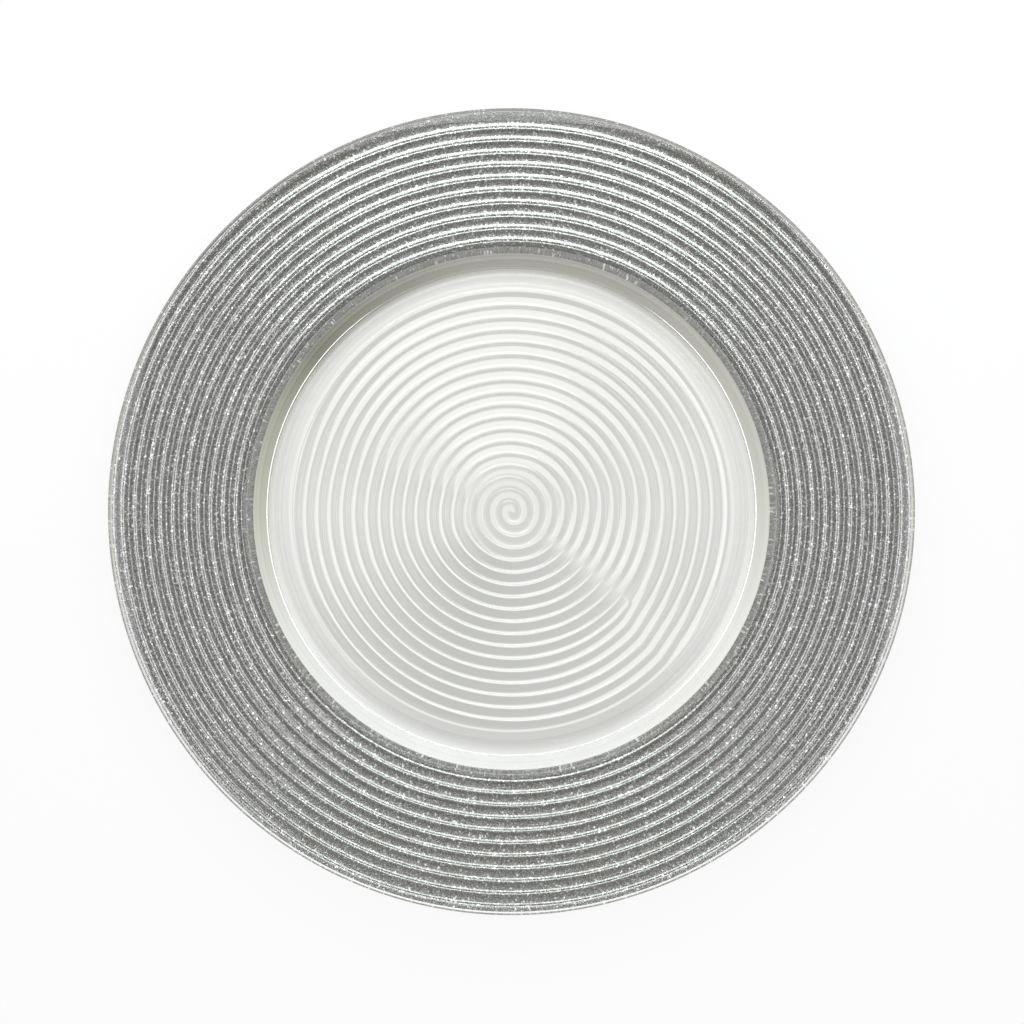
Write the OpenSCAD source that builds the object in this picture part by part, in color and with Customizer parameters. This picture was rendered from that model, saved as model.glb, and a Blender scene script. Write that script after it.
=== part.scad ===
// Charger plate of pressed clear glass. A shallow well has one spiral rib under its
// floor, and a wide rim has ring ribs under it. The rim's underside carries a coat of
// silver glitter, sealed by a thin lacquer, so the glitter is seen through the glass.
// Millimetres, +Z up. The origin is the centre of the face that the plate stands on.

/* [Plate] */
// Outer diameter of the plate
plate_d = 330; // [310:1:350]
// Diameter of the level floor inside the well, up to the foot of the wall
well_d = 202; // [190:1:212]
// Depth of the well, from the rim's inner edge down to the floor
well_depth = 11.5; // [8:0.5:16]
// Level distance that the wall takes between the floor and the rim
wall_run = 6; // [5:0.5:9]
// How far the rim climbs from its inner edge to its outer edge
rim_rise = 5; // [3:0.5:8]

/* [Glass] */
// Thickness of the floor between the ribs
floor_t = 4.5; // [3.5:0.1:6]
// Thickness of the wall of the well
wall_t = 4.5; // [3.5:0.1:6]
// Thickness of the rim between the ribs
rim_t = 4; // [3:0.1:5.5]
// Rounding of the rim's outer edge, above and below
edge_r = 1.9; // [0.8:0.1:2.5]
// Rounding of the shoulder where the wall turns into the rim
shoulder_r = 3; // [1.5:0.5:5]
// Rounding between the floor and the wall, inside the well
well_corner_r = 1.5; // [0.8:0.1:3]
// Rounding under the shoulder, between the wall and the rim
under_corner_r = 1.8; // [1.2:0.1:4]

/* [Ribs] */
// Distance from one rib to the next, on the rim and along the spiral
rib_pitch = 5.1; // [4:0.1:6.5]
// Height of a rib
rib_h = 0.5; // [0.3:0.05:0.8]
// Flat land left between two ribs
rib_land = 0.5; // [0.3:0.1:1]
// Plain band outside the last ring rib
edge_band = 3; // [2.5:0.1:6]
// Direction in which the spiral starts, in degrees from +X
spiral_start = 340; // [0:5:355]
// Length over which the spiral rib sinks into the smooth band round it
run_out = 2.5; // [1:0.5:4]
// Width of the smooth band between the spiral and the foot
spiral_margin = 3; // [2:0.5:6]

/* [Foot] */
// Width of the foot ring on the table, before its edges are rounded
foot_w = 4; // [3.2:0.1:6]
// Gap between the spiral's rib and the table
rib_lift = 2.5; // [2:0.1:4]
// How far the foot's inner side leans in over its height
foot_lean = 4.2; // [3:0.1:6]
// Rounding of the foot's inner edge
foot_inner_r = 1.5; // [0.6:0.1:2.5]
// Rounding of the foot's outer edge
foot_outer_r = 2; // [1:0.1:3]
// Hollow where the foot's inner side turns into the floor
foot_hollow_r = 5; // [2:0.5:8]

/* [Coats] */
// Thickness of the glitter coat
glitter_t = 0.35; // [0.2:0.05:0.6]
// Thickness of the lacquer behind the glitter
lacquer_t = 0.15; // [0.1:0.05:0.3]
// How far outside the shoulder the glitter begins
coat_start = 1.5; // [0.5:0.1:2.5]
// Clear glass left at the rim's outer edge, past the glitter
coat_margin = 1.5; // [0.8:0.1:3]
// How far the lacquer stops short of the glitter's two edges
lacquer_inset = 0.5; // [0.2:0.1:1.5]

/* [Hidden] */
$fn = 120;

clear_glass = [0.86, 0.92, 0.89, 0.45];
silver_glitter = [0.62, 0.62, 0.64];
grey_lacquer = [0.50, 0.50, 0.52];

// Straight steps in each rounded corner of the section
corner_steps = 8;
// Extra length of a clipping shape past what it cuts
overrun = 1;
// Largest share of the rim's thickness that one edge rounding may take
edge_limit_share = 0.475;

rim_r = plate_d / 2;
well_r = well_d / 2;
edge_round = min(edge_r, edge_limit_share * rim_t);

// Levels of the underside's land, between the ribs, and of the floor inside the well
land_z = rib_lift + rib_h;
floor_z = land_z + floor_t;

// A rib's section is an arc that rises rib_h above the land and leaves rib_land free
rib_w = rib_pitch - rib_land;
rib_r = rib_w * rib_w / (8 * rib_h) + rib_h / 2;

// Corners of the section's upper side: floor and wall, wall and rim, outer edge
well_corner = [well_r, floor_z];
shoulder = [well_r + wall_run, floor_z + well_depth];
edge_top = [rim_r, floor_z + well_depth + rim_rise];

wall_way = unit(shoulder - well_corner);
rim_way = unit(edge_top - shoulder);
rim_angle = atan2(rim_way.y, rim_way.x);

// The foot's two inner corners, and the circle where the spiral ends
foot_corner = wall_foot(0) - [foot_w, 0];
foot_root = [foot_corner.x - foot_lean, land_z];
spiral_end_r = foot_root.x - spiral_margin;

// The spiral's two centres lie a quarter of the pitch to each side of the middle, so
// that every half turn is a true arc and the radius grows by half a pitch in each
spiral_offset = rib_pitch / 4;
spiral_reach = spiral_end_r + spiral_offset + spiral_margin / 2;
spiral_turns = ceil(spiral_reach / rib_pitch);

coat_in_r = shoulder.x + coat_start;
coat_out_r = rim_r - coat_margin;

function unit(v) = v / norm(v);
function right_of(v) = [v.y, -v.x];

// Where the line through p along u meets the line through q along v
function meet(p, u, q, v) = p + u * cross(q - p, v) / cross(u, v);

// Corners of the underside, with the skin grown outward by grow
function wall_foot(grow) =
    meet(well_corner + right_of(wall_way) * (wall_t + grow), wall_way, [0, 0], [1, 0]);
function under_corner(grow) =
    meet(well_corner + right_of(wall_way) * (wall_t + grow), wall_way,
         shoulder + right_of(rim_way) * (rim_t + grow), rim_way);
function edge_low(grow) =
    meet(shoulder + right_of(rim_way) * (rim_t + grow), rim_way,
         [rim_r + grow, 0], [0, 1]);

// The arc that rounds corner p between its neighbours, as corner_steps straight steps
function rounding(before, p, after, r) =
    let (a = unit(before - p))
    let (b = unit(after - p))
    let (half = acos(a * b) / 2)
    let (centre = p + unit(a + b) * r / sin(half))
    let (from = p + a * r / tan(half) - centre)
    let (to = p + b * r / tan(half) - centre)
    let (start = atan2(from.y, from.x))
    let (sweep = atan2(cross(from, to), from * to))
    [for (k = [0:corner_steps])
        centre + r * [cos(start + sweep * k / corner_steps),
                      sin(start + sweep * k / corner_steps)]];

// Outline through the corners, each given as its point and its rounding
function outline(corners) =
    let (n = len(corners))
    [for (i = [0:n - 1])
        let (p = corners[i][0])
        let (r = corners[i][1])
        let (before = corners[(i + n - 1) % n][0])
        let (after = corners[(i + 1) % n][0])
        each r > 0 ? rounding(before, p, after, r) : [p]];

// Ring ribs, counted in from the plain band at the edge
rim_rib_room = rim_r - edge_band - under_corner(0).x;
rim_ribs = floor(rim_rib_room / rib_pitch);
function rim_rib_r(k) = rim_r - edge_band - (k + 1 / 2) * rib_pitch;
function rim_land_z(r) = under_corner(0).y + (r - under_corner(0).x) * tan(rim_angle);

// Section of one rib, its land at y = 0, grown outward by grow
module rib_section(grow = 0) {
    intersection() {
        translate([0, rib_r - rib_h])
            circle(r = rib_r + grow);
        translate([-rib_r, -rib_h - grow - overrun])
            square([2 * rib_r, 2 * rib_h + grow + overrun]);
    }
}

module rim_rib_sections(grow = 0) {
    for (k = [0:rim_ribs - 1])
        translate([rim_rib_r(k), rim_land_z(rim_rib_r(k))])
            rotate(rim_angle)
                rib_section(grow);
}

// Section of the smooth band, foot, wall and rim, from the spiral's end outward
module ring_section() {
    polygon(outline([
        [[spiral_end_r, land_z], 0],
        [foot_root, foot_hollow_r],
        [foot_corner, foot_inner_r],
        [wall_foot(0), foot_outer_r],
        [under_corner(0), under_corner_r],
        [edge_low(0), edge_round],
        [edge_top, edge_round],
        [shoulder, shoulder_r],
        [well_corner, well_corner_r],
        [[spiral_end_r, floor_z], 0]
    ]));
    rim_rib_sections();
}

// Half a turn of the ribbed floor, with its first rib at the radius first
module floor_half(first) {
    rotate_extrude(angle = 180)
        intersection() {
            square([spiral_reach, floor_z]);
            union() {
                translate([0, land_z])
                    square([spiral_reach, floor_t]);
                for (k = [0:spiral_turns])
                    translate([first + k * rib_pitch, land_z])
                        rib_section();
            }
        }
}

// Both half turns of the floor, one about each of the spiral's centres
module spiral_halves() {
    rotate([0, 0, spiral_start]) {
        translate([-spiral_offset, 0, 0])
            floor_half(0);
        translate([spiral_offset, 0, 0])
            rotate([0, 0, 180])
                floor_half(rib_pitch / 2);
    }
}

// Room for the floor: its lower side is a cone that the rib sinks into at its end
module run_out_room() {
    rotate_extrude()
        polygon([
            [0, 0],
            [spiral_end_r - run_out * land_z / rib_h, 0],
            [spiral_end_r, land_z],
            [spiral_reach + rib_pitch, land_z],
            [spiral_reach + rib_pitch, floor_z],
            [0, floor_z]
        ]);
}

module spiral_floor() {
    intersection() {
        spiral_halves();
        run_out_room();
    }
}

module glass_plate() {
    color(clear_glass)
        union() {
            rotate_extrude()
                ring_section();
            spiral_floor();
        }
}

// Everything from the middle of the glass down to the underside grown by grow
module underside_section(grow) {
    polygon(outline([
        [(well_corner + wall_foot(0)) / 2, 0],
        [wall_foot(grow), foot_outer_r + grow],
        [under_corner(grow), under_corner_r - grow],
        [edge_low(grow), edge_round + grow],
        [(edge_low(grow) + edge_top) / 2, 0],
        [(shoulder + under_corner(0)) / 2, 0]
    ]));
    rim_rib_sections(grow);
}

// A coat between two growths of the underside, kept between two radii
module coat(inner_grow, outer_grow, from_r, to_r) {
    rotate_extrude()
        intersection() {
            translate([from_r, 0])
                square([to_r - from_r, edge_top.y]);
            difference() {
                underside_section(outer_grow);
                if (inner_grow > 0)
                    underside_section(inner_grow);
                ring_section();
            }
        }
}

module glitter_coat() {
    color(silver_glitter)
        coat(0, glitter_t, coat_in_r, coat_out_r);
}

module backing_lacquer() {
    color(grey_lacquer)
        coat(glitter_t, glitter_t + lacquer_t,
             coat_in_r + lacquer_inset, coat_out_r - lacquer_inset);
}

glass_plate();
glitter_coat();
backing_lacquer();
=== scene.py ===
# %% [markdown]
# # A glass charger plate with a glitter rim
# A charger is the wide plate that stands under a dinner plate. This one is pressed from
# clear glass in one piece. Ribs on its underside bend the light, and the back of the
# rim carries silver glitter, sealed by a thin lacquer, so the glitter is seen through
# the glass. We build three pieces: the glass, the glitter and the lacquer.

# %% Load the plate as it was packed
import math

import bmesh
import bpy
from mathutils import Matrix, Vector


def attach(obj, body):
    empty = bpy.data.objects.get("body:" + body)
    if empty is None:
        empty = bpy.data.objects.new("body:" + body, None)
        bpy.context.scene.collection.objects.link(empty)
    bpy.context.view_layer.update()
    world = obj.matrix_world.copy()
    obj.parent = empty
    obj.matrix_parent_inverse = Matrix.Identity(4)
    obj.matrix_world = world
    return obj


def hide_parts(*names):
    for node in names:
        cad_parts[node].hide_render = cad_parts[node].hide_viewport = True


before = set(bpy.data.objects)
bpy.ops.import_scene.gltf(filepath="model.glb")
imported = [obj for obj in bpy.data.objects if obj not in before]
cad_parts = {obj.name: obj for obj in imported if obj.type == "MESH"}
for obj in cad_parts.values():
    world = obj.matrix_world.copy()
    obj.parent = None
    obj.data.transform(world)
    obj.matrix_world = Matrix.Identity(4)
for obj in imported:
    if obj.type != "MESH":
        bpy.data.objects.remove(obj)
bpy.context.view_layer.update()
print("nodes of the packed plate:", sorted(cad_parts))

# %% [markdown]
# ## The sizes of the plate
# A pressed plate is known by its section: the line that a saw cut through the middle
# would show. These are the sizes of that section, in metres, the same as in the part's
# own source. Everything that we turn on Blender's lathe, the spin operator, uses them.

# %% Sizes of the section
MM = 0.001

RIM_R = 165 * MM
WELL_R = 101 * MM
WELL_DEPTH = 11.5 * MM
WALL_RUN = 6 * MM
RIM_RISE = 5 * MM

FLOOR_T = 4.5 * MM
WALL_T = 4.5 * MM
RIM_T = 4 * MM

EDGE_ROUND = 1.9 * MM
SHOULDER_ROUND = 3 * MM
WELL_ROUND = 1.5 * MM
UNDER_ROUND = 1.8 * MM

PITCH = 5.1 * MM
RIB_H = 0.5 * MM
RIB_LAND = 0.5 * MM
EDGE_BAND = 3 * MM
RIM_RIBS = 10

SPIRAL_START = math.radians(-20)
SPIRAL_MARGIN = 3 * MM
RUN_OUT = 2.5 * MM

FOOT_W = 4 * MM
FOOT_LEAN = 4.2 * MM
FOOT_INNER_ROUND = 1.5 * MM
FOOT_OUTER_ROUND = 2 * MM
FOOT_HOLLOW = 5 * MM
RIB_LIFT = 2.5 * MM
LAND_Z = RIB_LIFT + RIB_H
FLOOR_Z = LAND_Z + FLOOR_T

GLITTER_T = 0.35 * MM
LACQUER_T = 0.15 * MM
COAT_IN_R = 108.5 * MM
COAT_OUT_R = 163.5 * MM
LACQUER_INSET = 0.5 * MM

# %% [markdown]
# ## Corners of the section
# The upper side of the plate has three corners: where the floor meets the wall, where
# the wall meets the rim, and the outer edge. The underside runs parallel to it, one
# thickness lower, so its corners are found where two such lines meet. A coat lies on
# the underside like a skin, so the same corners with a little growth shape the coats.

# %% Where the section's lines meet
well_corner = Vector((WELL_R, FLOOR_Z))
shoulder = well_corner + Vector((WALL_RUN, WELL_DEPTH))
edge_top = Vector((RIM_R, shoulder.y + RIM_RISE))
wall_way = (shoulder - well_corner).normalized()
rim_way = (edge_top - shoulder).normalized()


def below(way):
    """The direction at right angles to a line, on its lower side."""
    return Vector((way.y, -way.x))


def meet(p, p_way, q, q_way):
    """The point where the line through p meets the line through q."""
    gap = q - p
    cross = p_way.x * q_way.y - p_way.y * q_way.x
    return p + p_way * ((gap.x * q_way.y - gap.y * q_way.x) / cross)


def wall_line(grow):
    return well_corner + below(wall_way) * (WALL_T + grow)


def rim_line(grow):
    return shoulder + below(rim_way) * (RIM_T + grow)


level, upright = Vector((1, 0)), Vector((0, 1))
wall_foot = meet(wall_line(0), wall_way, Vector((0, 0)), level)
under_corner = meet(wall_line(0), wall_way, rim_line(0), rim_way)
edge_low = meet(rim_line(0), rim_way, Vector((RIM_R, 0)), upright)
foot_corner = wall_foot - FOOT_W * level
foot_root = foot_corner + Vector((-FOOT_LEAN, LAND_Z))
spiral_end = foot_root - SPIRAL_MARGIN * level
print("rim's corners, mm:", [tuple(round(x / MM, 2) for x in p)
                             for p in (shoulder, edge_top, edge_low, under_corner)])

# %% [markdown]
# ## A pen for drawing sections
# A section is a chain of edges that stands in the XZ plane. The pen starts at one
# vertex, and each stroke extrudes its tip. A rib is a shallow arc, and we let spin draw
# it: a single vertex that is spun leaves an arc of edges behind.

# %% The pen
RIB_W = PITCH - RIB_LAND
RIB_R = RIB_W ** 2 / (8 * RIB_H) + RIB_H / 2


def rib_half_width(grow):
    return math.sqrt(RIB_H * (2 * RIB_R + 2 * grow - RIB_H))


class Pen:
    """Draws a chain of edges in the XZ plane of a bmesh."""

    def __init__(self, bm, start):
        self.bm = bm
        self.tip = bm.verts.new((start.x, 0, start.y))
        self.first = self.tip

    def line(self, *points):
        for p in points:
            stroke = bmesh.ops.extrude_vert_indiv(self.bm, verts=[self.tip])
            self.tip = stroke["verts"][0]
            self.tip.co = (p.x, 0, p.y)
        return self.tip

    def arc(self, centre, angle, steps):
        swing = bmesh.ops.spin(self.bm, geom=[self.tip], cent=(centre.x, 0, centre.y),
                               axis=(0, -1, 0), angle=angle, steps=steps)
        self.tip = [v for v in swing["geom_last"] if isinstance(v, bmesh.types.BMVert)][0]

    def rib(self, middle, way, grow, steps):
        """One rib whose middle lies on the land line, with a coat's growth on it."""
        up = -below(way) if way.x > 0 else below(way)
        turn = 1 if way.x > 0 else -1
        centre = middle + up * (RIB_R - RIB_H)
        half = math.asin(rib_half_width(grow) / (RIB_R + grow))
        self.line(middle - way * rib_half_width(grow) - up * grow)
        self.arc(centre, turn * 2 * half, steps)

    def close(self):
        self.bm.edges.new((self.tip, self.first))


def round_corner(bm, corner, radius, steps):
    """Bevels one vertex of the chain into an arc with the given radius."""
    a, b = [(e.other_vert(corner).co - corner.co).normalized() for e in corner.link_edges]
    offset = radius / math.tan(a.angle(b) / 2)
    bmesh.ops.bevel(bm, geom=[corner], offset=offset, offset_type="OFFSET",
                    segments=steps, profile=0.5, affect="VERTICES", material=-1)


def wires(bm):
    """The vertices and edges that carry no face yet, which is the section just drawn."""
    return [g for g in [*bm.verts, *bm.edges] if not g.link_faces]


# %% [markdown]
# ## From section to solid
# Spin turns a section about the upright axis. A full turn is given use_merge, so that
# the last copy of the section joins the first. What is left of doubled vertices, as on
# the axis itself, is merged after that, and only then do the faces learn which side is
# out. Long smooth forms are shaded smooth, and edges with a clear corner stay sharp.

# %% Finishing a turned piece
SHARP = math.radians(32)
WELD = 0.001 * MM
CM3 = 1e-6


def turn_round(bm, steps):
    bmesh.ops.spin(bm, geom=wires(bm), cent=(0, 0, 0), axis=(0, 0, 1),
                   angle=math.tau, steps=steps, use_merge=True)
    bmesh.ops.remove_doubles(bm, verts=bm.verts, dist=WELD)


def finish_piece(name, bm, material, node):
    bmesh.ops.remove_doubles(bm, verts=bm.verts, dist=WELD)
    bmesh.ops.recalc_face_normals(bm, faces=bm.faces)
    for face in bm.faces:
        face.smooth = True
    for edge in bm.edges:
        edge.smooth = edge.calc_face_angle(0) < SHARP
    open_edges = sum(not e.is_manifold for e in bm.edges)
    volume = bm.calc_volume(signed=True)
    mesh = bpy.data.meshes.new(name)
    bm.to_mesh(mesh)
    bm.free()
    piece = bpy.data.objects.new(name, mesh)
    bpy.context.scene.collection.objects.link(piece)
    mesh.materials.append(material)
    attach(piece, "root")
    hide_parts(node)
    mesh.calc_loop_triangles()
    print(f"{name}: {len(mesh.loop_triangles)} triangles, {open_edges} open edges, "
          f"{volume / CM3:.1f} cm3")


# %% [markdown]
# ## Colour and grain of the glass
# Clear glass has hardly any colour of its own, only a trace of green where the light
# takes a long way through it. Pressed glass also keeps a faint unevenness from its
# mould, which we give it as a very low bump of soft noise.

# %% Clear pressed glass
def new_material(name):
    material = bpy.data.materials.new(name)
    material.use_nodes = True
    nodes, links = material.node_tree.nodes, material.node_tree.links
    return material, nodes, links, nodes["Principled BSDF"]


def object_coords(nodes):
    return nodes.new("ShaderNodeTexCoord").outputs["Object"]


def fill_ramp(ramp, stops):
    """Sets the colour ramp's stops, each given as its place and its four numbers."""
    bar = ramp.color_ramp
    while len(bar.elements) < len(stops):
        bar.elements.new(0.5)
    for element, (place, numbers) in zip(bar.elements, stops):
        element.position = place
        element.color = numbers


glass, nodes, links, shader = new_material("clear pressed glass")
shader.inputs["Base Color"].default_value = (0.982, 0.99, 0.972, 1)
shader.inputs["Roughness"].default_value = 0.0
shader.inputs["IOR"].default_value = 1.5
shader.inputs["Transmission Weight"].default_value = 1.0
mould = nodes.new("ShaderNodeTexNoise")
mould.inputs["Scale"].default_value = 60
mould.inputs["Detail"].default_value = 1
links.new(object_coords(nodes), mould.inputs["Vector"])
ripple = nodes.new("ShaderNodeBump")
ripple.inputs["Strength"].default_value = 0.25
ripple.inputs["Distance"].default_value = 0.02 * MM
links.new(mould.outputs["Fac"], ripple.inputs["Height"])
links.new(ripple.outputs["Normal"], shader.inputs["Normal"])
print("glass bends light by", round(shader.inputs["IOR"].default_value, 2))

# %% [markdown]
# ## Glitter
# Glitter is thousands of tiny mirrors, each lying at its own small tilt. A Voronoi
# texture cuts space into cells of the right size, and gives each cell a random colour.
# We read that colour as a tilt of the flake and as its shade of silver. The effect is a
# node group, because the lacquer behind shows the same flakes through its own thickness.

# %% Group of nodes for the flakes
def flake_group():
    group = bpy.data.node_groups.new("glitter flakes", "ShaderNodeTree")
    face = group.interface
    for name, value in (("Flake size", 0.6 * MM), ("Tilt", 0.3)):
        socket = face.new_socket(name, in_out="INPUT", socket_type="NodeSocketFloat")
        socket.default_value = value
    face.new_socket("Vector", in_out="INPUT", socket_type="NodeSocketVector")
    face.new_socket("Shade", in_out="OUTPUT", socket_type="NodeSocketFloat")
    face.new_socket("Normal", in_out="OUTPUT", socket_type="NodeSocketVector")

    nodes, links = group.nodes, group.links
    given = nodes.new("NodeGroupInput")
    made = nodes.new("NodeGroupOutput")

    scale = nodes.new("ShaderNodeMath")
    scale.operation = "DIVIDE"
    scale.inputs[0].default_value = 1
    links.new(given.outputs["Flake size"], scale.inputs[1])

    cells = nodes.new("ShaderNodeTexVoronoi")
    links.new(given.outputs["Vector"], cells.inputs["Vector"])
    links.new(scale.outputs[0], cells.inputs["Scale"])

    centred = nodes.new("ShaderNodeVectorMath")
    centred.operation = "SUBTRACT"
    centred.inputs[1].default_value = (0.5, 0.5, 0.5)
    links.new(cells.outputs["Color"], centred.inputs[0])
    tilted = nodes.new("ShaderNodeVectorMath")
    tilted.operation = "SCALE"
    links.new(centred.outputs[0], tilted.inputs[0])
    links.new(given.outputs["Tilt"], tilted.inputs["Scale"])
    geometry = nodes.new("ShaderNodeNewGeometry")
    leaning = nodes.new("ShaderNodeVectorMath")
    links.new(geometry.outputs["Normal"], leaning.inputs[0])
    links.new(tilted.outputs[0], leaning.inputs[1])
    normal = nodes.new("ShaderNodeVectorMath")
    normal.operation = "NORMALIZE"
    links.new(leaning.outputs[0], normal.inputs[0])
    links.new(normal.outputs[0], made.inputs["Normal"])

    parts = nodes.new("ShaderNodeSeparateColor")
    links.new(cells.outputs["Color"], parts.inputs["Color"])
    links.new(parts.outputs["Blue"], made.inputs["Shade"])
    return group


flakes = flake_group()
print("nodes in the group for the flakes:", len(flakes.nodes))

# %% [markdown]
# The silver is not one grey. Most flakes are a dull middle silver, some are dark with a
# warm tinge, and a few flash nearly white. A colour ramp on the random shade does that,
# and a second, coarser layer adds single sparks. The glass side of the glitter is its
# varnish, as smooth as the glass. It mirrors the lamps as crisp lines along each rib,
# and the Coat of the shader does that over the rougher flakes.

# %% Silver glitter
SILVERS = [
    (0.0, (0.060, 0.054, 0.044, 1)), (0.20, (0.125, 0.117, 0.101, 1)),
    (0.50, (0.200, 0.194, 0.178, 1)), (0.75, (0.275, 0.272, 0.260, 1)),
    (0.90, (0.340, 0.340, 0.340, 1)), (0.98, (0.60, 0.62, 0.64, 1)),
    (1.0, (0.85, 0.87, 0.90, 1)),
]
FINE_FLAKE = 0.40 * MM
COARSE_FLAKE = 0.70 * MM


def flake_layer(nodes, links, size, tilt):
    layer = nodes.new("ShaderNodeGroup")
    layer.node_tree = flakes
    layer.inputs["Flake size"].default_value = size
    layer.inputs["Tilt"].default_value = tilt
    links.new(object_coords(nodes), layer.inputs["Vector"])
    return layer


glitter, nodes, links, shader = new_material("silver glitter")
shader.inputs["Metallic"].default_value = 1.0
shader.inputs["Roughness"].default_value = 0.285
shader.inputs["Coat Weight"].default_value = 1.0
shader.inputs["Coat Roughness"].default_value = 0.05
shader.inputs["Coat IOR"].default_value = 2.5
fine = flake_layer(nodes, links, FINE_FLAKE, 0.21)
coarse = flake_layer(nodes, links, COARSE_FLAKE, 0.30)

silver = nodes.new("ShaderNodeValToRGB")
fill_ramp(silver, SILVERS)
links.new(fine.outputs["Shade"], silver.inputs["Fac"])
spark = nodes.new("ShaderNodeMapRange")
spark.inputs["From Min"].default_value = 0.955
spark.inputs["From Max"].default_value = 0.965
links.new(coarse.outputs["Shade"], spark.inputs["Value"])
mixed = nodes.new("ShaderNodeMix")
mixed.data_type = "RGBA"
mixed.inputs["B"].default_value = (0.84, 0.86, 0.89, 1)
links.new(spark.outputs["Result"], mixed.inputs["Factor"])
links.new(silver.outputs["Color"], mixed.inputs["A"])
links.new(mixed.outputs["Result"], shader.inputs["Base Color"])
links.new(fine.outputs["Normal"], shader.inputs["Normal"])
print("flakes across the rim:", round((COAT_OUT_R - COAT_IN_R) / FINE_FLAKE))

# %% [markdown]
# ## Lacquer
# The back of the glitter is sprayed with grey lacquer. It is not quite opaque or even,
# so larger flakes press through as a fine grain, and the sheen is soft.

# %% Grey backing lacquer
LACQUER_GRAIN = 0.8 * MM

lacquer, nodes, links, shader = new_material("grey backing lacquer")
shader.inputs["Roughness"].default_value = 0.42
layer = flake_layer(nodes, links, LACQUER_GRAIN, 0.12)
tone = nodes.new("ShaderNodeMix")
tone.data_type = "RGBA"
tone.inputs["A"].default_value = (0.20, 0.20, 0.21, 1)
tone.inputs["B"].default_value = (0.36, 0.36, 0.38, 1)
links.new(layer.outputs["Shade"], tone.inputs["Factor"])
links.new(tone.outputs["Result"], shader.inputs["Base Color"])
links.new(layer.outputs["Normal"], shader.inputs["Normal"])
print("finishes so far:", ", ".join(m.name for m in (glass, glitter, lacquer)))

# %% [markdown]
# ## The ring of glass: foot, wall and rim
# The section starts on the axis at the top of the floor, goes out over the wall and the
# rim, turns round the edge, comes back under the ribs of the rim and round the foot, and
# ends where the spiral will end. The corners are bevelled while the section is still a
# line of edges.

# %% Draw the section and turn it
CORNER_STEPS = 6
RIB_STEPS = 9
RING_TURN_STEPS = 288


def rim_rib_middle(k, grow=0):
    """Middle of ring rib k on the land line, counted inward from the edge."""
    r = RIM_R - EDGE_BAND - (k + 0.5) * PITCH
    return under_corner + rim_way * ((r - under_corner.x) / rim_way.x)


bm = bmesh.new()
pen = Pen(bm, Vector((0, FLOOR_Z)))
rounded = [(pen.line(well_corner), WELL_ROUND),
           (pen.line(shoulder), SHOULDER_ROUND),
           (pen.line(edge_top), EDGE_ROUND),
           (pen.line(edge_low), EDGE_ROUND)]
for k in range(RIM_RIBS):
    pen.rib(rim_rib_middle(k), -rim_way, 0, RIB_STEPS)
rounded += [(pen.line(under_corner), UNDER_ROUND),
            (pen.line(wall_foot), FOOT_OUTER_ROUND),
            (pen.line(foot_corner), FOOT_INNER_ROUND),
            (pen.line(foot_root), FOOT_HOLLOW)]
pen.line(spiral_end)
for corner, radius in rounded:
    round_corner(bm, corner, radius, CORNER_STEPS)
print("points in the section:", len(bm.verts))
turn_round(bm, RING_TURN_STEPS)

# %% [markdown]
# ## The spiral under the floor
# The floor's underside carries one rib that winds out from the middle. A true spiral
# would need a mesh of its own kind, but there is an old draughtsman's trick: draw half
# circles from two centres in turn. Each half circle is a quarter of the pitch off the
# middle, so every half turn steps out by half a pitch. Spun by half a turn about the
# two centres, two ribbed lines make the whole spiral, and they meet exactly.

# %% Spin the two halves of the spiral
CENTRE_OFF = PITCH / 4
SPIRAL_RIB_STEPS = 10
HALF_TURN_STEPS = 120
SPIRAL_TURNS = 18
SEAM_WELD = 0.002 * MM


def half_turns(bm, side, first, start_z):
    """Draws ribs outward from one of the two centres and spins them half a turn about it."""
    centre_x = -side * CENTRE_OFF
    pen = Pen(bm, Vector((centre_x, start_z)))
    for k in range(SPIRAL_TURNS):
        rho = first + k * PITCH
        if rho == 0:
            pen.arc(Vector((centre_x, LAND_Z + RIB_R - RIB_H)),
                    side * math.asin(rib_half_width(0) / RIB_R), SPIRAL_RIB_STEPS // 2)
        else:
            pen.rib(Vector((centre_x + side * rho, LAND_Z)), Vector((side, 0)), 0,
                    SPIRAL_RIB_STEPS)
    bmesh.ops.spin(bm, geom=wires(bm), cent=(centre_x, 0, 0), axis=(0, 0, 1),
                   angle=math.pi, steps=HALF_TURN_STEPS)


bm_floor = bmesh.new()
half_turns(bm_floor, 1, 0, LAND_Z - RIB_H)
half_turns(bm_floor, -1, PITCH / 2, LAND_Z)
bmesh.ops.remove_doubles(bm_floor, verts=bm_floor.verts, dist=SEAM_WELD)
bmesh.ops.rotate(bm_floor, verts=bm_floor.verts, cent=(0, 0, 0),
                 matrix=Matrix.Rotation(SPIRAL_START, 3, "Z"))
print("faces in the ribbed sheet:", len(bm_floor.faces))

# %% [markdown]
# The rib sinks into the smooth band over its last millimetres. We lower its height there,
# cut off what reaches into the band, and move the sheet into the same bmesh as the ring.

# %% Fade the spiral out and join it to the ring
CUT_BACK = 0.25 * MM

for v in bm_floor.verts:
    r = v.co.xy.length
    t = min(max((spiral_end.x - r) / RUN_OUT, 0), 1)
    v.co.z = LAND_Z + (v.co.z - LAND_Z) * t
outside = [f for f in bm_floor.faces
           if max(v.co.xy.length for v in f.verts) > spiral_end.x - CUT_BACK]
bmesh.ops.delete(bm_floor, geom=outside, context="FACES")

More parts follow.
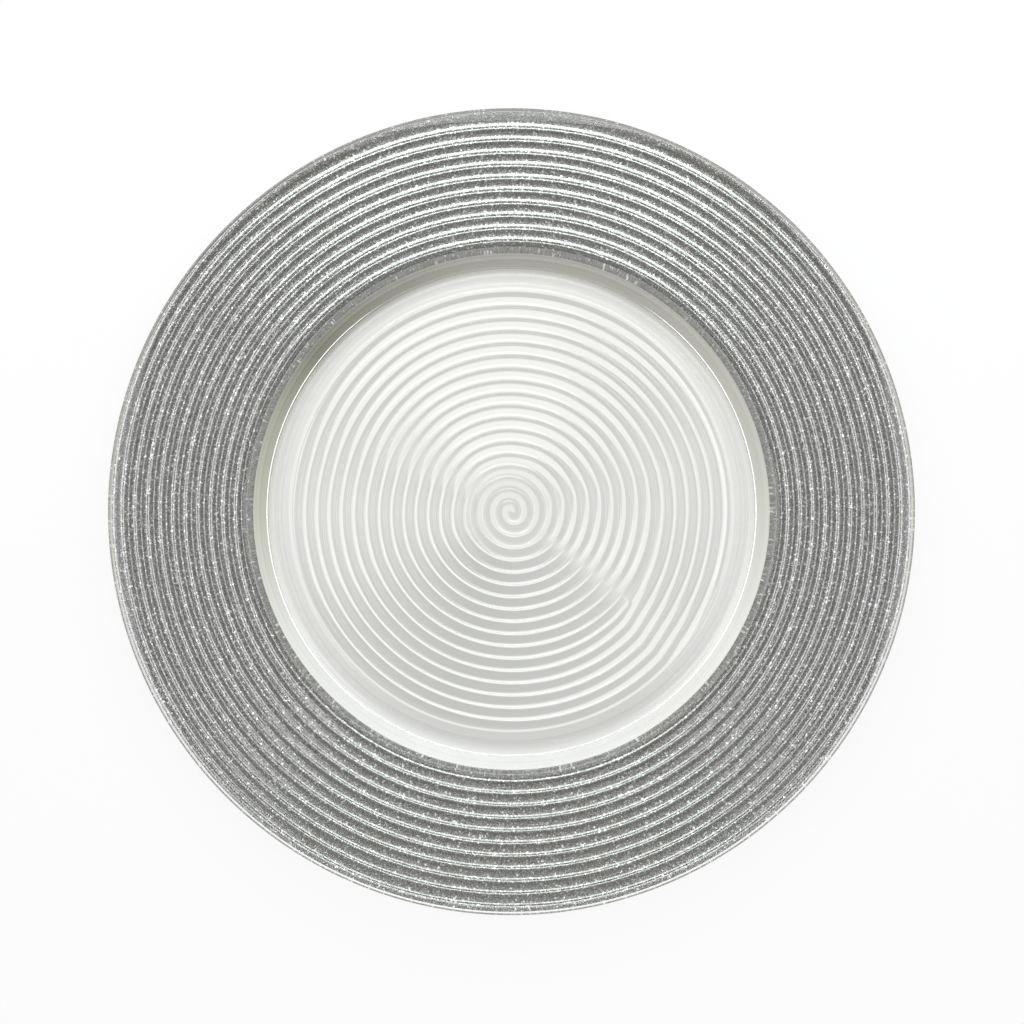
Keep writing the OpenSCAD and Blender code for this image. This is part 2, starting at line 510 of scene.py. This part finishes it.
sheet = bpy.data.meshes.new("spiral sheet")
bm_floor.to_mesh(sheet)
bm_floor.free()
bm.from_mesh(sheet)
bpy.data.meshes.remove(sheet)
gap = [e for e in bm.edges if e.is_boundary]
filled = bmesh.ops.triangle_fill(bm, use_beauty=True, edges=gap, normal=(0, 0, -1))
print("open edges round the spiral:", len(gap), "- faces that close the gap:",
      sum(isinstance(g, bmesh.types.BMFace) for g in filled["geom"]))
finish_piece("pressed_glass", bm, glass, "glass_plate")

# %% [markdown]
# ## The coats behind the rim
# Each coat is a closed band: out along the ribs on its lower side and back on its upper
# side. The upper side sinks a hair into the glass, because paint on glass has no air
# between, and light must meet the glitter before it would leave the glass.

# %% Glitter and lacquer bands
HAIR = 0.02 * MM
COAT_CORNER_STEPS = 5
COAT_TURN_STEPS = 256


def line_at(grow, r):
    """The point at radius r on the rim's land line, grown outward."""
    p = rim_line(grow)
    return p + rim_way * ((r - p.x) / rim_way.x)


def wall_at(grow, r):
    p = wall_line(grow)
    return p + wall_way * ((r - p.x) / wall_way.x)


def coat(name, inner, outer, from_r, to_r, material, node):
    bm = bmesh.new()
    pen = Pen(bm, wall_at(outer, from_r))
    corners = [(pen.line(meet(wall_line(outer), wall_way, rim_line(outer), rim_way)),
                UNDER_ROUND - outer)]
    for k in reversed(range(RIM_RIBS)):
        pen.rib(rim_rib_middle(k), rim_way, outer, RIB_STEPS)
    pen.line(line_at(outer, to_r), line_at(inner, to_r))
    for k in range(RIM_RIBS):
        pen.rib(rim_rib_middle(k), -rim_way, inner, RIB_STEPS)
    corners.append((pen.line(meet(wall_line(inner), wall_way, rim_line(inner), rim_way)),
                    UNDER_ROUND - inner))
    pen.line(wall_at(inner, from_r))
    pen.close()
    for corner, radius in corners:
        round_corner(bm, corner, radius, COAT_CORNER_STEPS)
    turn_round(bm, COAT_TURN_STEPS)
    finish_piece(name, bm, material, node)


coat("glitter", -HAIR, GLITTER_T, COAT_IN_R, COAT_OUT_R,
     glitter, "glitter_coat")
coat("lacquer", GLITTER_T - HAIR, GLITTER_T + LACQUER_T, COAT_IN_R + LACQUER_INSET,
     COAT_OUT_R - LACQUER_INSET, lacquer, "backing_lacquer")

# %% [markdown]
# ## Light under the ribs
# A ribbed glass floor works like a row of lenses. It gathers the light that falls through
# it into bright rings on the table, with soft grey between them, and the ribs show those
# rings again on their way back to the eye. Cycles would need far too many samples to find
# them, so we paint them with nodes. That is a long sum, so we first make a helper that
# adds one small node at a time and takes either a wire or a plain number.

# %% Helper for sums of nodes
class Sums:
    """Adds small nodes to a tree and wires them up."""

    def __init__(self, tree):
        self.nodes, self.links = tree.nodes, tree.links

    def feed(self, socket, value):
        if isinstance(value, bpy.types.NodeSocket):
            self.links.new(value, socket)
        else:
            socket.default_value = value

    def calc(self, operation, *values):
        node = self.nodes.new("ShaderNodeMath")
        node.operation = operation
        for socket, value in zip(node.inputs, values):
            self.feed(socket, value)
        return node.outputs["Value"]

    def length(self, x, y):
        squares = self.calc("MULTIPLY", x, x), self.calc("MULTIPLY", y, y)
        return self.calc("SQRT", self.calc("ADD", *squares))

    def blend(self, share, a, b):
        return self.calc("MULTIPLY_ADD", share, self.calc("SUBTRACT", b, a), a)

    def step_between(self, value, low, high, start=0, end=1):
        """A smooth step from start to end while the value goes from low to high."""
        node = self.nodes.new("ShaderNodeMapRange")
        node.interpolation_type = "SMOOTHSTEP"
        for name, number in (("Value", value), ("From Min", low), ("From Max", high),
                             ("To Min", start), ("To Max", end)):
            self.feed(node.inputs[name], number)
        return node.outputs["Result"]

    def split(self, vector):
        node = self.nodes.new("ShaderNodeSeparateXYZ")
        self.links.new(vector, node.inputs["Vector"])
        return node.outputs

    def channels(self, colour):
        node = self.nodes.new("ShaderNodeSeparateColor")
        self.links.new(colour, node.inputs["Color"])
        return node.outputs

    def by_direction(self, direction, stops):
        """A colour ramp round the plate, with its stops given in degrees."""
        node = self.nodes.new("ShaderNodeValToRGB")
        fill_ramp(node, [((angle + 180) / 360, numbers) for angle, numbers in stops])
        self.links.new(direction, node.inputs["Fac"])
        return node.outputs


# %% [markdown]
# The same two-centre trick as in the mesh tells, for any point of the table, how many
# turns of the spiral lie inside it. We turn the point into the spiral's own frame, pick
# the centre that its half belongs to, and divide the distance from there by the pitch.

# %% Turns of the spiral inside a point
def turns_inside(sums, place):
    turned = sums.nodes.new("ShaderNodeVectorRotate")
    turned.rotation_type = "Z_AXIS"
    turned.inputs["Angle"].default_value = -SPIRAL_START
    sums.links.new(place, turned.inputs["Vector"])
    x, y, _ = sums.split(turned.outputs["Vector"])
    upper = sums.calc("GREATER_THAN", y, 0)
    x = sums.calc("ADD", sums.calc("MULTIPLY_ADD", upper, 2 * CENTRE_OFF, -CENTRE_OFF), x)
    return sums.calc("ADD", sums.calc("DIVIDE", sums.length(x, y), PITCH),
                     sums.calc("MULTIPLY_ADD", upper, 0.5, -0.5))


# %% [markdown]
# Where the fraction of a turn is near that of the ring, the table is bright. The lamps
# stand over the far side, so the rings are wide there, narrow on the near side and in
# between at the sides. Each direction has three numbers for that: half the ring's width
# in turns, and the grey and the bright of the table. Two more say how many turns the ring
# is shifted outward, on the inner and on the outer half of the well. The light of two
# lamps crosses on the upper left and the lower right, so the inner shift jumps there, and
# the last number says how far the rings fade. The middle is calm: its rings are faint and
# their shift is the same all round.

# %% Rings of light, by direction
RINGS = [
    (-180, (0.20, 0.73, 0.95, 1)), (-165, (0.20, 0.68, 0.98, 1)),
    (-140, (0.17, 0.61, 0.98, 1)), (-110, (0.15, 0.57, 0.93, 1)),
    (-70, (0.16, 0.60, 0.91, 1)), (-45, (0.18, 0.65, 0.91, 1)),
    (-25, (0.22, 0.66, 0.94, 1)), (0, (0.22, 0.71, 0.91, 1)), (20, (0.23, 0.70, 0.92, 1)),
    (45, (0.26, 0.64, 0.96, 1)), (120, (0.26, 0.63, 0.96, 1)),
    (145, (0.24, 0.66, 0.96, 1)), (165, (0.21, 0.70, 0.96, 1)), (180, (0.20, 0.73, 0.95, 1)),
]
SHIFTS = [
    (-180, 0.56, 0.67, 0), (-160, 0.63, 0.69, 0), (-135, 0.51, 0.51, 0),
    (-105, 0.35, 0.38, 0), (-75, 0.27, 0.25, 0), (-45, 0.48, 0.12, 0),
    (-37, 0.54, -0.12, 0.8), (-36.99, -0.86, -0.12, 0.8), (-27, -0.79, -0.34, 0),
    (-10, -0.72, -0.45, 0), (15, -0.48, -0.35, 0), (45, -0.71, -0.60, 0),
    (80, -0.98, -0.88, 0), (125, -1.00, -1.01, 0), (147, -1.16, -1.22, 0.6),
    (165, -1.48, -1.38, 0), (180, -1.44, -1.33, 0),
]
# A colour ramp holds numbers from 0 to 1, so shifts go in as (shift + 1.5) / 2.4
SHIFT_LOW, SHIFT_SPAN = 1.5, 2.4
RING_EDGE = 0.08
MIDDLE_SHIFT = 0.25
MIDDLE_WIDTH = 0.22
MIDDLE_GREY = 0.70
MIDDLE_BRIGHT = 0.87
CALM_TO_INNER = 9 * MM, 27 * MM
INNER_TO_OUTER = 56 * MM, 66 * MM


def ring_level(sums, direction, away, turns):
    """How bright the table is under the spiral."""
    calc, blend, step_between = sums.calc, sums.blend, sums.step_between
    width, grey, bright = sums.channels(sums.by_direction(direction, RINGS)["Color"])
    packed = [(angle, tuple((shift + SHIFT_LOW) / SHIFT_SPAN for shift in shifts) + (fade, 1))
              for angle, *shifts, fade in SHIFTS]
    inner, outer, fade = sums.channels(sums.by_direction(direction, packed)["Color"])
    outside = step_between(away, *INNER_TO_OUTER)
    shift = calc("MULTIPLY_ADD", blend(outside, inner, outer), SHIFT_SPAN, -SHIFT_LOW)
    off = calc("PINGPONG", calc("SUBTRACT", turns, shift), 0.5)
    lit = step_between(off, calc("SUBTRACT", width, RING_EDGE),
                       calc("ADD", width, RING_EDGE), 1, 0)
    lit = blend(calc("MULTIPLY", fade, calc("SUBTRACT", 1, outside)), lit, 0.5)
    off = calc("PINGPONG", calc("SUBTRACT", turns, MIDDLE_SHIFT), 0.5)
    middle = step_between(off, MIDDLE_WIDTH - RING_EDGE, MIDDLE_WIDTH + RING_EDGE,
                          MIDDLE_BRIGHT, MIDDLE_GREY)
    return blend(step_between(away, *CALM_TO_INNER), middle, blend(lit, grey, bright))


print("stops round the plate:", len(RINGS), "for the rings,", len(SHIFTS), "for their shift")

# %% [markdown]
# Outside the spiral the painted light has no rings, only a level given for each direction,
# apart from one thin line where the rib ends. Under the wall the rim's shadow is painted,
# darkest on the far side, with a yellowish tint for light's long way through the glass.
# All of it goes into a node group, from a place on the table to the colour of its light.

# %% Group of nodes for the light under the ribs
BAND = [
    (-180, (0.80,) * 4), (-110, (0.66,) * 4), (-60, (0.66,) * 4), (-25, (0.76,) * 4),
    (60, (0.88,) * 4), (100, (0.90,) * 4), (140, (0.84,) * 4), (180, (0.80,) * 4),
]
# Painted shadow of the opaque rim on the table under the wall, by direction: darkest on the
# far side, with a yellowish tint for the glass.
RIM_SHADOW_UNDER_WALL = [
    (-180, (0.55, 0.55, 0.48, 1)), (-150, (0.85, 0.86, 0.84, 1)),
    (-110, (0.97, 0.98, 0.98, 1)), (-30, (0.90, 0.90, 0.88, 1)), (10, (0.60, 0.60, 0.55, 1)),
    (60, (0.40, 0.39, 0.36, 1)), (100, (0.36, 0.35, 0.32, 1)), (140, (0.20, 0.20, 0.16, 1)),
    (160, (0.40, 0.40, 0.34, 1)), (180, (0.55, 0.55, 0.48, 1)),
]
YELLOWER = 0.985
LAST_RING = 1.55
LAST_RING_R = spiral_end.x + 0.2 * MM
LAST_RING_FADE = 0.15 * MM, 0.55 * MM
SPIRAL_TO_BAND = spiral_end.x, spiral_end.x + 1.2 * MM
BAND_TO_WALL = 96 * MM, 103 * MM


def light_group():
    group = bpy.data.node_groups.new("light under the ribs", "ShaderNodeTree")
    group.interface.new_socket("Vector", in_out="INPUT", socket_type="NodeSocketVector")
    group.interface.new_socket("Color", in_out="OUTPUT", socket_type="NodeSocketColor")
    nodes, links = group.nodes, group.links
    place = nodes.new("NodeGroupInput").outputs["Vector"]
    made = nodes.new("NodeGroupOutput").inputs["Color"]

    sums = Sums(group)
    calc, blend, step_between = sums.calc, sums.blend, sums.step_between
    x, y, _ = sums.split(place)
    direction = calc("MULTIPLY_ADD", calc("ARCTAN2", y, x), 1 / math.tau, 0.5)
    away = sums.length(x, y)
    level = ring_level(sums, direction, away, turns_inside(sums, place))

    band = sums.by_direction(direction, BAND)["Alpha"]
    level = blend(step_between(away, *SPIRAL_TO_BAND), level, band)
    line = calc("ABSOLUTE", calc("SUBTRACT", away, LAST_RING_R))
    level = blend(step_between(line, *LAST_RING_FADE, 1, 0), level,
                  calc("SUBTRACT", LAST_RING, band))

    flat = nodes.new("ShaderNodeCombineColor")
    links.new(level, flat.inputs["Red"])
    links.new(level, flat.inputs["Green"])
    links.new(calc("MULTIPLY", level, YELLOWER), flat.inputs["Blue"])
    # Under the wall the painted shadow of the rim takes over from the painted light.
    rim_shadow = nodes.new("ShaderNodeMix")
    rim_shadow.data_type = "RGBA"
    links.new(step_between(away, *BAND_TO_WALL), rim_shadow.inputs["Factor"])
    links.new(flat.outputs["Color"], rim_shadow.inputs["A"])
    links.new(sums.by_direction(direction, RIM_SHADOW_UNDER_WALL)["Color"], rim_shadow.inputs["B"])
    links.new(rim_shadow.outputs["Result"], made)
    return group


light_under_ribs = light_group()
print("nodes in the group for the light:", len(light_under_ribs.nodes))

# %% [markdown]
# ## Floor, world and lamps
# The plate stands on a plain white floor in a light studio. The floor is one large
# square just under the foot. It is stage and not part of the plate.

# %% Floor
FLOOR_HALF = 4
FLOOR_DROP = 0.2 * MM

bm = bmesh.new()
bmesh.ops.create_grid(bm, x_segments=1, y_segments=1, size=FLOOR_HALF)
for v in bm.verts:
    v.co.z = -FLOOR_DROP
mesh = bpy.data.meshes.new("floor")
bm.to_mesh(mesh)
bm.free()
floor = bpy.data.objects.new("floor", mesh)
bpy.context.scene.collection.objects.link(floor)
print("floor:", 2 * FLOOR_HALF, "m wide,", round(FLOOR_DROP / MM, 1), "mm under the foot")

# %% [markdown]
# What the floor looks like depends on who looks. A Light Path node tells Cycles what kind
# of ray it follows. To the camera, and in the mirror of the metal, the floor is nearly all
# white light, with a small share of real paper that keeps the plate's soft shadow. Only
# rays that come through the glass see the painted light.

# %% White paper with the light painted on it
WHITE_SHARE = 0.9

paper, nodes, links, shader = new_material("white floor")
shader.inputs["Base Color"].default_value = (0.95, 0.95, 0.95, 1)
shader.inputs["Roughness"].default_value = 0.9
shader.inputs["Specular IOR Level"].default_value = 0.0
glow = nodes.new("ShaderNodeEmission")
rays = nodes.new("ShaderNodeLightPath")
rings = nodes.new("ShaderNodeGroup")
rings.node_tree = light_under_ribs
links.new(object_coords(nodes), rings.inputs["Vector"])
tint = nodes.new("ShaderNodeMix")
tint.data_type = "RGBA"
tint.inputs["A"].default_value = (1, 1, 1, 1)
links.new(rays.outputs["Is Transmission Ray"], tint.inputs["Factor"])
links.new(rings.outputs["Color"], tint.inputs["B"])
links.new(tint.outputs["Result"], glow.inputs["Color"])
straight = nodes.new("ShaderNodeMath")
straight.operation = "MAXIMUM"
links.new(rays.outputs["Is Camera Ray"], straight.inputs[0])
links.new(rays.outputs["Is Glossy Ray"], straight.inputs[1])
seen = nodes.new("ShaderNodeMath")
seen.operation = "MULTIPLY_ADD"
seen.use_clamp = True
seen.inputs[1].default_value = WHITE_SHARE
links.new(straight.outputs[0], seen.inputs[0])
links.new(rays.outputs["Is Transmission Ray"], seen.inputs[2])
surface = nodes.new("ShaderNodeMixShader")
links.new(seen.outputs[0], surface.inputs[0])
links.new(shader.outputs[0], surface.inputs[1])
links.new(glow.outputs[0], surface.inputs[2])
links.new(surface.outputs[0], nodes["Material Output"].inputs["Surface"])
mesh.materials.append(paper)
print("white light's share of the floor:", WHITE_SHARE)

# %% [markdown]
# The world is the room round the plate. The camera sees it white, and to all other rays it
# is a middle grey, so that the lamps stand out from it in the glass and in the glitter.

# %% World
world = bpy.data.worlds.new("studio")
bpy.context.scene.world = world
world.use_nodes = True
nodes, links = world.node_tree.nodes, world.node_tree.links
air = nodes["Background"]
air.inputs["Color"].default_value = (0.50, 0.497, 0.485, 1)
white = nodes.new("ShaderNodeBackground")
white.inputs["Color"].default_value = (1, 1, 1, 1)
rays = nodes.new("ShaderNodeLightPath")
swap = nodes.new("ShaderNodeMixShader")
links.new(rays.outputs["Is Camera Ray"], swap.inputs[0])
links.new(air.outputs[0], swap.inputs[1])
links.new(white.outputs[0], swap.inputs[2])
links.new(swap.outputs[0], nodes["World Output"].inputs["Surface"])
print("world's light on the plate:", round(air.inputs["Color"].default_value[1], 2))

# %% [markdown]
# Each lamp is a soft panel that the ribs mirror as one line. Two panels hang low over the
# far side, with a slit between them that shows as a thin grey line in the bright bands,
# and a larger, weaker one above them softens the bands' edges. Two more hang high on the
# left and right. None of them may hang where the flat middle of the plate would mirror it
# to the camera, or the well would be washed out.

# %% Lamps
def panel(name, place, width, height, radiance, colour):
    """A soft lamp at the given place that shines straight down."""
    lamp = bpy.data.lights.new(name, "AREA")
    lamp.shape = "RECTANGLE"
    lamp.size, lamp.size_y = width, height
    lamp.energy = radiance * math.pi * width * height
    lamp.color = colour
    box = bpy.data.objects.new(name, lamp)
    bpy.context.scene.collection.objects.link(box)
    box.location = place
    box.visible_camera = False
    return box


COOL = (0.89, 0.98, 1)
LAVENDER = (0.93, 0.92, 1)
WHITE = (1, 1, 1)
LOW, ABOVE, HIGH = 0.45, 0.62, 2.2
FAR_W = 0.56
SIDE_X = 0.55
panel("far side, near slit", (0, 0.240, LOW), FAR_W, 0.10, 3.4, COOL)
panel("far side, behind slit", (0, 0.405, LOW), FAR_W, 0.17, 3.4, COOL)
panel("far side, soft", (0, 0.370, ABOVE), FAR_W, 0.36, 1.0, WHITE)
for side in (-1, 1):
    box = panel("high side", (side * SIDE_X, 0, HIGH), 0.50, 1.0, 2.5, LAVENDER)
    box.rotation_euler = (0, side * math.atan2(SIDE_X, HIGH), 0)

# %% [markdown]
# ## Camera
# The camera looks straight down, from 1.3 m above the rim. A long lens keeps the rim
# and the well nearly in the same scale. The plate fills about four fifths of the frame's
# width, and the camera stands a part of a pixel to the right and to the near side.

# %% Camera
lens = bpy.data.cameras.new("camera")
camera = bpy.data.objects.new("camera", lens)
bpy.context.scene.collection.objects.link(camera)
bpy.context.scene.camera = camera
CAMERA_UP = 1.3
PLATE_PX = 805.8
FRAME_PX = 1024
RIGHT_PX, NEAR_PX = 0.5, 0.3
PIXEL = 2 * RIM_R / PLATE_PX
FRAME_W = FRAME_PX * PIXEL
SENSOR_W = 36
lens.sensor_width = SENSOR_W
lens.lens = SENSOR_W * CAMERA_UP / FRAME_W
lens.clip_start, lens.clip_end = 0.05, 20
camera.location = (RIGHT_PX * PIXEL, -NEAR_PX * PIXEL, edge_low.y + CAMERA_UP)
bpy.context.scene.view_settings.view_transform = "Standard"
print("lens, mm:", round(lens.lens, 1))
